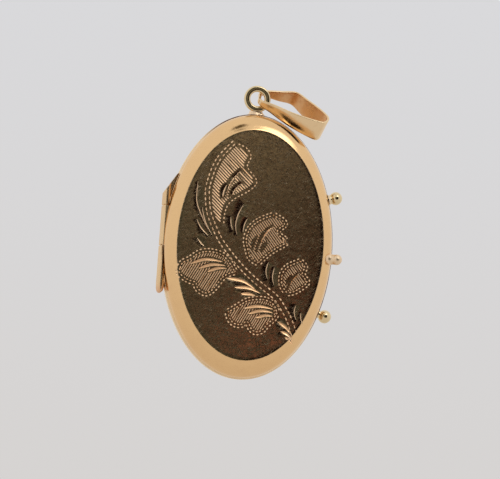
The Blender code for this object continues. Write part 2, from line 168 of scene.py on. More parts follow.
class Nodes:
    """Short names for building a material's node tree."""

    def __init__(self, tree):
        self.tree = tree

    def add(self, kind, **settings):
        node = self.tree.nodes.new(kind)
        for key, value in settings.items():
            setattr(node, key, value)
        return node

    def put(self, value, socket):
        """Link a socket to another's value, or give it a number, a vector or a colour."""
        if isinstance(value, bpy.types.NodeSocket):
            self.tree.links.new(value, socket)
        elif socket.type == "RGBA":
            socket.default_value = (*value, 1.0)
        else:
            socket.default_value = value

    def fill(self, node, **values):
        """Put values into a node's inputs, named with _ for each space."""
        for name, value in values.items():
            self.put(value, node.inputs[name.replace("_", " ")])
        return node

    def place(self):
        """The point shaded, in the piece's own coordinates."""
        return self.add("ShaderNodeTexCoord").outputs["Object"]

    def split(self, vector):
        return self.fill(self.add("ShaderNodeSeparateXYZ"), Vector=vector).outputs

    def math(self, operation, *values):
        node = self.add("ShaderNodeMath", operation=operation)
        for socket, value in zip(node.inputs, values):
            self.put(value, socket)
        return node.outputs[0]

    def plus(self, first, second):
        return self.math("ADD", first, second)

    def times(self, first, second):
        return self.math("MULTIPLY", first, second)

    def ramp(self, source, low, high, from_value=0.0, to_value=1.0):
        node = self.add("ShaderNodeMapRange", interpolation_type="SMOOTHSTEP")
        self.fill(node, Value=source, From_Min=low, From_Max=high, To_Min=from_value,
                  To_Max=to_value)
        return node.outputs["Result"]

    def mix(self, factor, first, second):
        node = self.add("ShaderNodeMix", data_type="RGBA")
        for index, value in ((0, factor), (6, first), (7, second)):
            self.put(value, node.inputs[index])
        return node.outputs[2]

    def noise(self, vector, scale, detail=3.0, roughness=0.5):
        node = self.add("ShaderNodeTexNoise")
        self.fill(node, Vector=vector, Scale=scale, Detail=detail, Roughness=roughness)
        return node.outputs["Fac"]

    def mapped(self, vector, turn, stretch, shift=0.0):
        """Turn about the depth axis, then squeeze, which draws a noise out into streaks."""
        node = self.add("ShaderNodeMapping", vector_type="TEXTURE")
        self.fill(node, Vector=vector, Rotation=(0.0, turn, 0.0), Scale=(1.0, 1.0, 1.0 / stretch),
                  Location=(shift, 0.0, shift))
        return node.outputs["Vector"]

    def bump(self, height, strength, distance):
        node = self.add("ShaderNodeBump")
        self.fill(node, Height=height, Strength=strength, Distance=distance)
        return node.outputs["Normal"]


def new_material(name):
    material = bpy.data.materials.new(name)
    material.use_nodes = True
    shader = material.node_tree.nodes["Principled BSDF"]
    return material, Nodes(material.node_tree), shader


def gold(name, colour, roughness, wear=1.0, grain=1.0, tint=(0.62, 0.36, 0.20), tail=None,
         scuffs=0.0):
    """Polished gold alloy with cloudy tarnish, fine hairline scratches and small dings.

    Tarnish draws the colour towards tint; tail is a second colour for the lowest stretch
    of a hinge, where the solder has run; scuffs dulls the colour in a fine brushed mottle.
    """
    material, nodes, shader = new_material(name)
    place = nodes.place()
    cloud = nodes.noise(place, 260.0, 4.0, 0.6)
    mottle = nodes.noise(place, 1900.0, 3.0, 0.6)
    speck = nodes.noise(place, 5200.0, 2.0, 0.5)
    shade = nodes.mix(nodes.ramp(cloud, 0.45, 0.80, 0.0, 0.35 * wear), colour, tint)
    shade = nodes.mix(nodes.ramp(mottle, 0.50, 0.75, 0.0, 0.22 * wear), shade, tint)
    if tail is not None:
        height = nodes.split(place)["Z"]
        shade = nodes.mix(nodes.ramp(height, *TAIL_HEIGHTS, 1.0, 0.0), shade, tail)
    scratches = None
    for turn, stretch in ((0.15, 7.0), (-0.55, 9.0), (1.15, 8.0), (2.2, 10.0)):
        streak = nodes.mapped(place, turn, stretch)
        line = nodes.ramp(nodes.noise(streak, 800.0, 2.0, 0.6), 0.60, 0.74)
        scratches = line if scratches is None else nodes.plus(scratches, line)
    rough = nodes.times(scratches, 0.030 * wear)
    for turn, shift, scale, tone in SCUFFS if scuffs else ():
        streak = nodes.noise(nodes.mapped(place, turn, 5.0, shift), scale, 2.0, 0.7)
        line = nodes.ramp(streak, 0.52, 0.66)
        shade = nodes.mix(nodes.times(line, scuffs), shade, tone)
        if tone is WORN:
            rough = nodes.plus(rough, nodes.times(line, 0.25 * scuffs))
    rough = nodes.plus(rough, nodes.ramp(cloud, 0.35, 0.75, 0.0, 0.05 * wear))
    rough = nodes.plus(rough, nodes.ramp(mottle, 0.40, 0.70, 0.0, 0.05 * wear))
    relief = nodes.plus(nodes.times(scratches, -0.5), nodes.times(speck, 0.3))
    relief = nodes.plus(relief, nodes.times(mottle, 0.8))
    nodes.fill(shader, Base_Color=shade, Metallic=1.0, Roughness=nodes.plus(rough, roughness),
               Normal=nodes.bump(relief, 0.10 * grain, 0.03 * MM))
    return material


def seam_shade():
    """Painted shade in the seam beside the covers, dark and coppery, heaviest at the top and right.
    """
    material, nodes, shader = new_material("seam_shade")
    place = nodes.place()
    x, _, z = nodes.split(place)
    # How much painted shade the seam takes: none at the left and bottom, full towards the right and
    # top, in patches
    reach = nodes.plus(x, nodes.times(z, 0.6))
    cloud = nodes.noise(place, 900.0, 3.0, 0.6)
    cover = nodes.times(nodes.ramp(reach, 0.0, 6.0 * MM),
                        nodes.ramp(cloud, 0.25, 0.50, 0.55, 1.0))
    nodes.fill(shader, Base_Color=nodes.mix(cover, (0.87, 0.65, 0.39), (0.10, 0.035, 0.02)),
               Metallic=1.0, Roughness=nodes.ramp(cloud, 0.3, 0.7, 0.25, 0.45))
    return material


def card():
    """Blank ivory picture card with a faint fibre."""
    material, nodes, shader = new_material("ivory_card")
    place = nodes.place()
    fibre = nodes.noise(place, 3200.0, 5.0, 0.65)
    cloud = nodes.noise(place, 180.0, 2.0)
    shade = nodes.mix(nodes.ramp(cloud, 0.3, 0.7), (0.76, 0.70, 0.58), (0.83, 0.79, 0.69))
    shade = nodes.mix(nodes.ramp(fibre, 0.5, 0.8, 0.0, 0.25), shade, (0.60, 0.52, 0.40))
    nodes.fill(shader, Base_Color=shade, Roughness=0.85,
               Normal=nodes.bump(fibre, 0.3, 0.02 * MM))
    return material


def window():
    """Thin clear sheet, a little hazed by handling."""
    material, nodes, shader = new_material("clear_window")
    haze = nodes.noise(nodes.place(), 900.0, 4.0, 0.6)
    nodes.fill(shader, Base_Color=(0.96, 0.97, 0.96), IOR=1.45, Alpha=0.16,
               Roughness=nodes.ramp(haze, 0.4, 0.8, 0.03, 0.14))
    return material


# --- Mesh helpers

def show(obj):
    bpy.context.scene.collection.objects.link(obj)
    return obj


def add_piece(name, mesh, material, body, node, angle=30.0):
    """Put a mesh in the scene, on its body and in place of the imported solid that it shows."""
    mesh.shade_smooth()
    mesh.set_sharp_from_angle(angle=radians(angle))
    for item in material if isinstance(material, list) else [material]:
        mesh.materials.append(item)
    obj = show(bpy.data.objects.new(name, mesh))
    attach(obj, body)
    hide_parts(node)
    return obj


def finished(bm, name):
    """A mesh from a bmesh, its faces pointing out."""
    bmesh.ops.recalc_face_normals(bm, faces=bm.faces)
    mesh = bpy.data.meshes.new(name)
    bm.to_mesh(mesh)
    bm.free()
    return mesh


def oval(half_width, half_height, y):
    turn = 2.0 * pi / SEGMENTS
    return [Vector((half_width * cos(i * turn), y, half_height * sin(i * turn)))
            for i in range(SEGMENTS)]


def bevel_rings(side, steps, depth, margin=0.0):
    """Ovals of a cover's convex bevel, from its rim to the edge of its face."""
    rings = []
    for step in range(steps + 1):
        phi = BEVEL_SWEEP * step / steps
        inward = (1.0 - cos(phi)) / (1.0 - cos(BEVEL_SWEEP))
        outward = sin(phi) / sin(BEVEL_SWEEP)
        scale = 1.0 - inward * (1.0 - FACE_SCALE)
        y = MIDDLE_Y + side * (RIM_OFFSET + outward * depth)
        rings.append(oval(COVER_HALF_WIDTH * scale + margin,
                          COVER_HALF_HEIGHT * scale + margin, y))
    return rings


def add_loft(bm, rings):
    """Quads between successive equal loops of vertices; returns the loops."""
    loops = [[bm.verts.new(point) for point in ring] for ring in rings]
    for first, second in zip(loops, loops[1:]):
        for i in range(len(first)):
            j = (i + 1) % len(first)
            bm.faces.new((first[i], first[j], second[j], second[i]))
    return loops


def loft(name, rings, closed=False):
    """One solid through equal rings of points: capped ends, or closed onto the first."""
    bm = bmesh.new()
    if closed:
        rings = list(rings) + [rings[0]]
    loops = add_loft(bm, rings)
    if closed:
        bmesh.ops.remove_doubles(bm, verts=loops[0] + loops[-1], dist=1e-9)
    else:
        bm.faces.new(loops[0])
        bm.faces.new(loops[-1])
    return finished(bm, name)


def quarter(steps):
    """Angles of a quarter turn."""
    return [0.5 * pi * step / steps for step in range(steps + 1)]


def full_turn(count):
    """Angles of a whole turn, the last short of the first by one step."""
    return [2.0 * pi * i / count for i in range(count)]


def circle(centre, across, along, radius, count):
    turn = 2.0 * pi / count
    return [centre + radius * (cos(i * turn) * across + sin(i * turn) * along)
            for i in range(count)]


def turned(name, origin, axis, profile, count, closed=False):
    """A profile of (distance along the axis, radius) turned about the axis."""
    side = axis.cross(UP if abs(axis.z) < 0.9 else AWAY).normalized()
    rings = [circle(origin + axis * distance, side, side.cross(axis), radius, count)
             for distance, radius in profile]
    return loft(name, rings, closed)


def block(name, low, high):
    corners = [(low.x, low.z), (high.x, low.z), (high.x, high.z), (low.x, high.z)]
    return loft(name, [[Vector((x, y, z)) for x, z in corners] for y in (low.y, high.y)])


def eased(profile, radius):
    """A closed profile with its corners rounded; radius is one for all, or one for each."""
    corners = [Vector(corner) for corner in profile]
    radii = radius if isinstance(radius, list) else [radius] * len(corners)
    rounded = []
    for i, (corner, radius) in enumerate(zip(corners, radii)):
        ends = []
        for other in (corners[i - 1], corners[(i + 1) % len(corners)]):
            edge = other - corner
            ends.append(corner + edge * min(radius / edge.length, 0.4))
        for step in range(5):
            t = step / 4
            rounded.append(ends[0].lerp(corner, t).lerp(corner.lerp(ends[1], t), t))
    return rounded


def combine(obj, cutter_mesh, operation="DIFFERENCE", angle=30.0):
    """Cut a mesh out of a piece, or join it on, and keep the result."""
    cutter = show(bpy.data.objects.new(cutter_mesh.name, cutter_mesh))
    modifier = obj.modifiers.new("combine", "BOOLEAN")
    modifier.operation = operation
    modifier.solver = "EXACT"
    modifier.object = cutter
    bpy.context.view_layer.update()
    evaluated = obj.evaluated_get(bpy.context.evaluated_depsgraph_get())
    result = bpy.data.meshes.new_from_object(evaluated)
    obj.modifiers.clear()
    obj.data = result
    result.shade_smooth()
    result.set_sharp_from_angle(angle=radians(angle))
    bpy.data.objects.remove(cutter)


def groove(cover):
    """Round room for the knuckles along a cover's hinge axis."""
    axis = HINGES[cover + "_cover"]
    low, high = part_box(cover + "_hinge_lower_knuckle")[0].z, HINGE_TOP
    centre = Vector((axis.x, axis.y, low - GROOVE_SPARE))
    length = high - low + 2.0 * GROOVE_SPARE
    profile = [(0.0, GROOVE_RADIUS), (length, GROOVE_RADIUS)]
    return turned(cover + "_groove", centre, UP, profile, 64)


# --- Engraving
# Drawn in millimetres on the face, from its middle: across to the right, up.

def smooth_curve(points, spacing):
    """Points evenly spaced along a Catmull-Rom curve through the given ones."""
    dense = []
    ends = [points[0]] + list(points) + [points[-1]]
    for a, b, c, d in zip(ends, ends[1:], ends[2:], ends[3:]):
        for i in range(24):
            t = i / 24.0
            dense.append([0.5 * (2 * q + (r - p) * t + (2 * p - 5 * q + 4 * r - s) * t * t
                                 + (3 * q - p - 3 * r + s) * t ** 3)
                          for p, q, r, s in zip(a, b, c, d)])
    dense.append(points[-1])
    dense = np.array(dense, float)
    lengths = np.concatenate([[0.0], np.cumsum(np.linalg.norm(np.diff(dense, axis=0), axis=1))])
    count = max(2, int(round(lengths[-1] / spacing)) + 1)
    at = np.linspace(0.0, lengths[-1], count)
    return np.stack([np.interp(at, lengths, dense[:, k]) for k in (0, 1)], axis=1)


def offset_curve(curve, distance):
    """The curve moved to its left by a distance."""
    tangent = np.gradient(curve, axis=0)
    tangent /= np.linalg.norm(tangent, axis=1)[:, None] + 1e-12
    return curve + distance * np.stack([-tangent[:, 1], tangent[:, 0]], axis=1)


def inside(point, polygon):
    x, y = point
    hit = False
    for (x1, y1), (x2, y2) in zip(polygon, np.roll(polygon, -1, axis=0)):
        if (y1 > y) != (y2 > y) and x < (x2 - x1) * (y - y1) / (y2 - y1) + x1:
            hit = not hit
    return hit


class Engraving:
    """Collects tapered V cuts: each is a centre line with a half width and a depth."""

    def __init__(self, seed):
        self.cuts = []
        self.random = np.random.default_rng(seed)

    def cut(self, line, half_widths, depth):
        self.cuts.append((np.asarray(line, float), np.asarray(half_widths, float), depth))

    def dash(self, start, end, width):
        start, end = np.asarray(start, float), np.asarray(end, float)
        line = [start, start + 0.3 * (end - start), start + 0.7 * (end - start), end]
        self.cut(line, [0.0, 0.5 * width, 0.5 * width, 0.0], DASH_DEPTH)

    def dashes(self, points, offsets, length, gap, width, start=0.0):
        """A row of short cuts beside a curve, from its first offset to its last."""
        curve = smooth_curve(points, 0.05)
        curve = offset_curve(curve, np.linspace(offsets[0], offsets[1], len(curve))[:, None])
        steps = np.linalg.norm(np.diff(curve, axis=0), axis=1)
        along = np.concatenate([[0.0], np.cumsum(steps)])
        at = start
        while at + length < along[-1]:
            jitter = self.random.uniform(-0.12, 0.12) * length
            ends = [[np.interp(value, along, curve[:, k]) for k in (0, 1)]
                    for value in (at + jitter, at + jitter + length)]
            self.dash(*ends, width * self.random.uniform(0.85, 1.15))
            at += length + gap

    def blade(self, points, width, depth=0.08, bulge=0.35):
        """One curved stroke, widest part way along."""
        line = smooth_curve(points, 0.25)
        share = np.linspace(0.0, 1.0, len(line))
        profile = np.where(share < bulge, share / bulge, (1.0 - share) / (1.0 - bulge))
        self.cut(line, 0.5 * width * np.sin(0.5 * pi * profile) ** 0.8, depth)

    def hatch(self, outline, degrees, pitch, width, keep_clear):
        """Parallel cuts that fill an outline and stop short of it and of the veins."""
        direction = np.array([cos(radians(degrees)), sin(radians(degrees))])
        across = np.array([-direction[1], direction[0]])
        levels = outline @ across
        spans = outline @ direction
        level = levels.min() + 0.5 * pitch
        while level < levels.max():
            run = None
            shift = level + self.random.uniform(-0.06, 0.06) * pitch
            for at in np.arange(spans.min(), spans.max() + 0.05, 0.04):
                point = direction * at + across * shift
                free = inside(point, outline) and not any(inside(point, p) for p in keep_clear)
                if free and run is None:
                    run = at
                elif not free and run is not None:
                    self.hatch_line(direction, across, shift, run, at, width)
                    run = None
            level += pitch

    def hatch_line(self, direction, across, level, low, high, width):
        low += HATCH_MARGIN
        high -= HATCH_MARGIN
        if high - low < HATCH_SHORTEST:
            return
        low += self.random.uniform(0.0, 0.06)
        high -= self.random.uniform(0.0, 0.06)
        taper = min(0.12, 0.3 * (high - low))
        stations = [low, low + taper, high - taper, high]
        line = [direction * at + across * level for at in stations]
        self.cut(line, [0.0, 0.5 * width, 0.5 * width, 0.0], HATCH_DEPTH)


def band_polygon(points, width):
    """Outline of a tapered stroke, for keeping hatching off it."""
    line = smooth_curve(points, 0.2)
    share = np.linspace(0.0, 1.0, len(line))
    half = 0.5 * width * np.sin(pi * np.clip(share, 0.03, 0.97)) ** 0.6
    reach = (offset_curve(line, 1.0) - line) * half[:, None]
    return np.concatenate([line + reach, (line - reach)[::-1]])


def leaf(work, sides, degrees, pitch, width, veins, vein_width, rows=(2, 2),
         insets=(0.42, 0.42)):
    """A hatched leaf: its two sides meet at the tip, with up to two rows of dashes outside.

    The sides are drawn where the outer row runs, and the hatched leaf is inset from them.
    """
    near, far = (smooth_curve(side, 0.12) for side in sides)
    x, z = np.concatenate([near, far[::-1]]).T
    turning = copysign(1.0, np.sum(x * np.roll(z, -1) - z * np.roll(x, -1)))
    signs = (-turning, turning)
    near, far = (offset_curve(curve, -sign * inset)
                 for curve, sign, inset in zip((near, far), signs, insets))
    outline = np.concatenate([near, far[::-1]])
    work.hatch(outline, degrees, pitch, width,
               keep_clear=[band_polygon(vein, vein_width) for vein in veins])
    for curve, sign, count in zip((near, far), signs, rows):
        if count > 1:
            work.dashes(curve, (sign * 0.12, sign * 0.12), 0.28, 0.17, 0.14)
        if count > 0:
            outer = sign * (0.50 if count > 1 else 0.36)
            work.dashes(curve, (outer, outer), 0.32, 0.19, 0.15, start=0.2)


def stroked_leaf(work, sides, strokes):
    """A leaf that lies to the left, with broad bright strokes across its hatching."""
    leaf(work, sides, 62, 0.27, 0.11, strokes, 0.52, insets=(0.34, 0.30))
    for stroke in strokes:
        work.blade(stroke, 0.42, depth=0.09, bulge=0.72)


def flower_spray():
    """Five leaves on a double stem, with blades of grass between them."""
    work = Engraving(7)
    stem = [(-2.9, 12.9), (-4.9, 10.4), (-5.9, 7.2), (-5.9, 5.5), (-5.6, 3.7), (-4.9, 2.1),
            (-3.9, 0.3), (-2.6, -1.25), (-1.1, -2.8), (0.45, -4.15), (2.2, -5.4), (3.75, -6.5),
            (4.9, -8.0), (5.6, -9.1), (6.2, -10.5), (6.6, -11.3)]
    work.dashes(stem, (-0.30, -0.34), 0.46, 0.19, 0.145)
    work.dashes(stem, (0.14, 0.36), 0.46, 0.19, 0.145, start=0.15)

    upper = ([(-2.7, 12.7), (-4.5, 10.3), (-5.4, 7.4), (-5.4, 5.0), (-4.8, 3.2), (-3.7, 2.3)],
             [(-2.7, 12.7), (-1.4, 12.2), (-0.8, 11.2), (-1.2, 9.9), (0.1, 8.3), (-0.1, 7.5),
              (-1.0, 6.7), (-2.4, 5.8), (-3.3, 4.9), (-3.7, 3.6), (-3.7, 2.3)])
    upper_veins = ([(-3.9, 6.0), (-3.6, 7.2), (-3.0, 8.4), (-2.0, 9.7)],
                   [(-3.2, 5.9), (-2.7, 7.0), (-1.8, 8.0)],
                   [(-4.3, 5.6), (-4.2, 6.6), (-3.8, 7.6)])
    leaf(work, upper, -42, 0.31, 0.15, upper_veins, 0.36, rows=(0, 1), insets=(0.0, 0.28))
    for vein in upper_veins:
        work.blade([(x + 0.27, z - 0.10) for x, z in vein], 0.21, depth=0.045, bulge=0.4)

    middle = ([(2.7, 4.3), (1.3, 3.7), (0.15, 2.9), (-0.6, 1.9), (-0.9, 0.5), (-0.6, -0.7),
               (-0.1, -1.9), (1.2, -2.6)],
              [(2.7, 4.3), (4.1, 3.6), (4.5, 2.8), (3.6, 1.9), (4.9, 1.0), (4.6, 0.3),
               (3.7, -0.3), (2.7, -1.0), (1.9, -1.8), (1.2, -2.6)])
    middle_veins = ([(0.7, -0.9), (1.1, 0.6), (1.8, 1.9), (2.8, 2.8)],
                    [(0.2, -0.6), (0.3, 0.3), (0.7, 1.1)],
                    [(1.3, -0.9), (1.6, -0.1), (2.1, 0.5)])
    leaf(work, middle, -50, 0.28, 0.115, middle_veins, 0.34)
    work.blade([(0.95, -0.9), (1.4, 0.6), (2.1, 1.9), (2.9, 2.6)], 0.20, bulge=0.75)

    right = ([(6.6, -1.3), (5.7, -1.7), (4.7, -2.3), (4.1, -3.2), (4.0, -4.2), (4.2, -5.1),
              (5.0, -6.1)],
             [(6.6, -1.3), (7.5, -2.2), (7.2, -3.2), (7.9, -4.0), (7.7, -4.6), (7.0, -5.2),
              (6.1, -5.8), (5.0, -6.1)])
    right_veins = ([(5.0, -5.4), (5.5, -4.2), (6.3, -3.1)], [(4.9, -4.7), (5.1, -4.1), (5.5, -3.5)])
    leaf(work, right, -50, 0.28, 0.115, right_veins, 0.24)
    work.blade([(5.2, -5.4), (5.7, -4.2), (6.6, -3.0)], 0.16, bulge=0.7)

    left = ([(-9.0, -3.7), (-8.7, -2.9), (-7.7, -2.3), (-6.7, -1.5), (-5.6, -1.15), (-4.3, -1.2),
             (-3.2, -1.6), (-2.3, -2.5), (-1.5, -3.7)],
            [(-9.0, -3.7), (-9.0, -4.4), (-8.3, -5.0), (-7.4, -5.4), (-6.8, -5.5), (-6.6, -6.1),
             (-6.0, -6.6), (-5.2, -6.8), (-4.4, -6.3), (-3.8, -5.5), (-3.2, -4.6), (-2.4, -4.05),
             (-1.5, -3.7)])
    stroked_leaf(work, left, ([(-3.3, -2.5), (-5.6, -2.35), (-7.6, -3.1)],
                              [(-2.9, -2.95), (-4.7, -2.95), (-6.5, -3.6)],
                              [(-2.7, -3.3), (-3.9, -3.35), (-5.3, -3.9)]))

    lower = ([(-2.5, -8.7), (-1.9, -8.3), (-0.9, -7.6), (0.0, -7.0), (1.3, -6.7), (2.5, -6.7),
              (3.7, -7.3), (4.2, -8.4)],
             [(-2.5, -8.7), (-2.1, -9.8), (-1.3, -10.4), (-0.4, -10.4), (0.2, -10.0),
              (0.7, -10.8), (1.4, -11.2), (2.3, -10.9), (3.0, -10.0), (3.7, -9.3), (4.2, -8.4)])
    stroked_leaf(work, lower, ([(3.6, -8.0), (1.6, -7.75), (-0.3, -8.15)],
                               [(3.6, -8.45), (2.0, -8.3), (0.3, -8.8)],
                               [(3.6, -8.9), (2.6, -8.85), (1.3, -9.25)]))

    broad = (
        [(1.2, -5.8), (-0.6, -4.75), (-2.8, -4.5)], [(1.8, -6.15), (0.1, -5.55), (-1.7, -5.6)],
        [(1.2, -6.5), (0.3, -6.3), (-0.8, -6.35)], [(6.3, -11.4), (5.4, -10.3), (4.1, -9.5)],
        [(6.3, -11.9), (5.6, -11.1), (4.6, -10.7)], [(6.3, -12.3), (5.9, -11.8), (5.2, -11.4)])
    for stroke in broad:
        work.blade(stroke, 0.43, depth=0.09, bulge=0.72)
    grass = (
        [(-7.3, 7.7), (-7.3, 5.0), (-6.4, 2.9), (-5.5, 1.3)],
        [(-6.6, 4.4), (-6.0, 2.4), (-4.9, 0.6)], [(-7.2, 2.8), (-6.5, 1.6), (-5.4, 0.6)],
        [(-7.0, 0.4), (-6.5, -0.2), (-5.8, -0.8)],
        [(-1.2, 5.2), (-1.9, 3.6), (-2.1, 2.2), (-1.8, 0.9)],
        [(-2.8, 3.5), (-2.7, 2.4), (-2.35, 1.5)], [(-0.6, 3.4), (-1.0, 2.4), (-1.1, 1.3)],
        [(2.5, -1.9), (2.2, -3.2), (2.55, -4.4)], [(3.3, -2.5), (3.1, -3.9), (3.4, -5.1)],
        [(6.4, -7.1), (6.2, -8.2), (6.6, -9.3)], [(7.1, -8.0), (7.1, -8.9), (7.5, -9.6)])
    for stroke in grass:
        work.blade(stroke, 0.18, depth=0.032, bulge=0.4)
    return work.cuts


# --- Covers

def face_height(x, z):
    """How far a point of the face stands in front of its edge: it rolls over at the edge,
    where it meets the bevel, and is nearly flat inside."""
    radius = hypot(x / (COVER_HALF_WIDTH * FACE_SCALE), z / (COVER_HALF_HEIGHT * FACE_SCALE))
    radius = min(max(radius, 1e-6), 1.0)
    inset = min(hypot(x, z) * (1.0 / radius - 1.0), ROLL_WIDTH)
    roll = (inset - 0.5 * inset ** 2 / ROLL_WIDTH) / tan(BEVEL_SWEEP)
    return roll + FACE_CROWN * (1.0 - radius ** 2)


def add_face(bm, boundary, side, cuts):
    """Fill a cover's face inside the boundary vertices, with the cuts sunk into it."""
    edge_y = boundary[0].co.y
    points = [(v.co.x / MM, v.co.z / MM) for v in boundary]
    depths = [0.0] * len(points)
    broad = set()
    edges = [(i, (i + 1) % len(boundary)) for i in range(len(boundary))]
    centres = []
    for line, half_widths, depth in cuts:
        tangent = np.gradient(line, axis=0)
        tangent /= np.linalg.norm(tangent, axis=1)[:, None]
        normal = np.stack([-tangent[:, 1], tangent[:, 0]], axis=1)
        base = len(points)
        last = len(line) - 1
        inner = range(1, last)
        left = [line[i] + normal[i] * half_widths[i] for i in inner]
        right = [line[i] - normal[i] * half_widths[i] for i in inner]
        points += [tuple(line[0])] + [tuple(p) for p in left] + [tuple(line[last])]
        points += [tuple(p) for p in reversed(right)]
        count = 2 * len(inner) + 2
        depths += [0.0] * count
        edges += [(base + i, base + (i + 1) % count) for i in range(count)]
        spine = len(points)
        points += [tuple(line[i]) for i in inner]
        widest = max(half_widths)
        if widest > BROAD_CUT:
            broad.update(range(base, spine + len(inner)))
        depths += [depth * min(1.0, half_widths[i] / widest) for i in inner]
        chain = [base] + list(range(spine, spine + len(inner))) + [base + len(inner) + 1]
        edges += list(zip(chain, chain[1:]))
        centres += [tuple(p) for p in line]
    half_width = COVER_HALF_WIDTH * FACE_SCALE / MM
    half_height = COVER_HALF_HEIGHT * FACE_SCALE / MM
    for share, count in ROLL_RINGS:
        inset = share * ROLL_WIDTH / MM
        for i in range(count):
            angle = 2.0 * pi * (i + 0.5) / count
            points.append(((half_width - inset) * cos(angle),
                           (half_height - inset) * sin(angle)))
            depths.append(0.0)
    spine_points = np.array(centres) if centres else np.full((1, 2), 1e3)
    for x in np.arange(-half_width, half_width, FACE_GRID):
        for z in np.arange(-half_height, half_height, FACE_GRID):
            if hypot(x / half_width, z / half_height) > GRID_SHARE:
                continue
            if np.min(np.hypot(*(spine_points - (x, z)).T)) > GRID_CLEARANCE:
                points.append((x, z))
                depths.append(0.0)
    verts, _, faces, origins, _, _ = geometry.delaunay_2d_cdt(
        [Vector(p) for p in points], edges, [], 1, 1e-5)
    made = []
    sunk = []
    wide = []
    for vert, origin in zip(verts, origins):
        depth = max((depths[i] for i in origin), default=0.0)
        first = min(origin, default=len(boundary))
        if first < len(boundary):
            made.append(boundary[first])
        else:
            x, z = vert.x * MM, vert.y * MM
            y = edge_y + side * (face_height(x, z) - depth * MM)
            made.append(bm.verts.new((x, y, z)))
        sunk.append(depth > 0.0)
        wide.append(any(i in broad for i in origin))
    for corners in faces:
        face = bm.faces.new([made[i] for i in corners])
        middle = face.calc_center_median()
        rim = hypot(middle.x / MM / half_width, middle.z / MM / half_height)
        if any(sunk[i] for i in corners):
            face.material_index = BROAD_SLOT if all(wide[i] for i in corners) else CUT_SLOT
        else:
            face.material_index = BEVEL_SLOT if rim > ROLL_SHARE else FACE_SLOT


def cover_shell(cover, side, materials, cuts):
    """Pressed shell: a convex bevel round a flat face, with the cuts sunk in the face."""
    bm = bmesh.new()
    outer = bevel_rings(side, 16, BEVEL_DEPTH)
    inner = bevel_rings(side, 8, COVER_DEPTH - WALL, margin=-1.1 * WALL)
    lip = 0.05 * MM
    outer[0] = oval(COVER_HALF_WIDTH - lip, COVER_HALF_HEIGHT - lip, outer[0][0].y)
    edge = oval(COVER_HALF_WIDTH, COVER_HALF_HEIGHT, outer[0][0].y + side * lip)
    rings = list(reversed(outer[1:])) + [edge, outer[0]] + inner
    loops = add_loft(bm, rings)
    bm.faces.new(loops[-1])
    add_face(bm, loops[0], side, cuts)
    mesh = finished(bm, cover + "_cover_shell")
    shell = add_piece(mesh.name, mesh, materials, cover + "_cover", cover + "_shell",
                      24.0)
    combine(shell, groove(cover), angle=24.0)


def seat_ring(cover, side, material):
    """Stepped ring in the cover's mouth, with a ledge under the picture."""
    low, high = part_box(cover + "_seat_ring")
    rim, deep = (high.y, low.y) if side < 0 else (low.y, high.y)
    ledge = rim + side * (LEDGE_DEPTH - GAP)
    flange = rim + side * (FLANGE_DEPTH - GAP)
    profile = [(FLANGE_INSET, rim), (SEAT_INSET, rim), (SEAT_INSET, ledge), (LEDGE_INSET, ledge),
               (LEDGE_INSET, deep), (SEAT_BODY_INSET, deep), (SEAT_BODY_INSET, flange),
               (FLANGE_INSET, flange)]
    ring = oval_ring(cover + "_cover_seat_ring", profile, material, cover + "_cover",
                     cover + "_seat_ring")
    combine(ring, groove(cover))
    low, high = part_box("frame_catch_" + cover)
    spare = Vector((CATCH_ROOM_SPARE, CATCH_ROOM_SPARE, CATCH_ROOM_SPARE))
    combine(ring, block("catch_room", low - spare, high + spare))


def oval_ring(name, profile, material, body, node, easing=0.06 * MM):
    """A ring that follows the locket's outline, from a profile of (inset, depth)."""
    rings = [oval(COVER_HALF_WIDTH - inset, COVER_HALF_HEIGHT - inset, y)
             for inset, y in eased(profile, easing)]
    return add_piece(name, loft(name, rings, closed=True), material, body, node)


def retaining_rim(prefix, body, material):
    """Thin rim over the edge of a window, its opening bevelled on the open side."""
    node = prefix + "_retaining_rim"
    low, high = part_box(node)
    card_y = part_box(prefix + "_card")[0].y
    under, top = (low.y, high.y) if low.y > card_y else (high.y, low.y)
    slope = 0.45 * (top - under)
    profile = [(SEAT_INSET + GAP, under), (OPENING_INSET, under), (OPENING_INSET, under + slope),
               (OPENING_INSET - abs(slope), top), (SEAT_INSET + GAP, top)]
    oval_ring(prefix + "_window_rim", profile, material, body, node)


def centre_band(material, tarnish):
    """The frame's band, grooved for the divider, with painted shade in the seam where the covers
    meet it.
    """
    low, high = BAND_LOW.y, BAND_HIGH.y
    groove_low, groove_high = MIDDLE_Y - DIVIDER_GROOVE_HALF, MIDDLE_Y + DIVIDER_GROOVE_HALF
    profile = [(-FRAME_LIP, low), (SEAT_INSET, low), (SEAT_INSET, groove_low),
               (DIVIDER_GROOVE_INSET, groove_low), (DIVIDER_GROOVE_INSET, groove_high),
               (SEAT_INSET, groove_high), (SEAT_INSET, high), (-FRAME_LIP, high)]
    easing = [BAND_EASING] + [0.05 * MM] * 6 + [BAND_EASING]
    band = oval_ring("centre_frame_band", profile, [material, tarnish], "frame", "frame_band",
                     easing)
    # Faces in the seam beside each cover take the band's second material, the seam's painted shade
    for face in band.data.polygons:
        within, beyond = (hypot(face.center.x / (COVER_HALF_WIDTH + margin),
                                face.center.z / (COVER_HALF_HEIGHT + margin)) < 1.0
                          for margin in (SEAM_WIDTH, -SEAM_WIDTH))
        face.material_index = 1 if within and not beyond and abs(face.normal.y) > 0.3 else 0
    combine(band, groove("front"))
    combine(band, groove("back"))


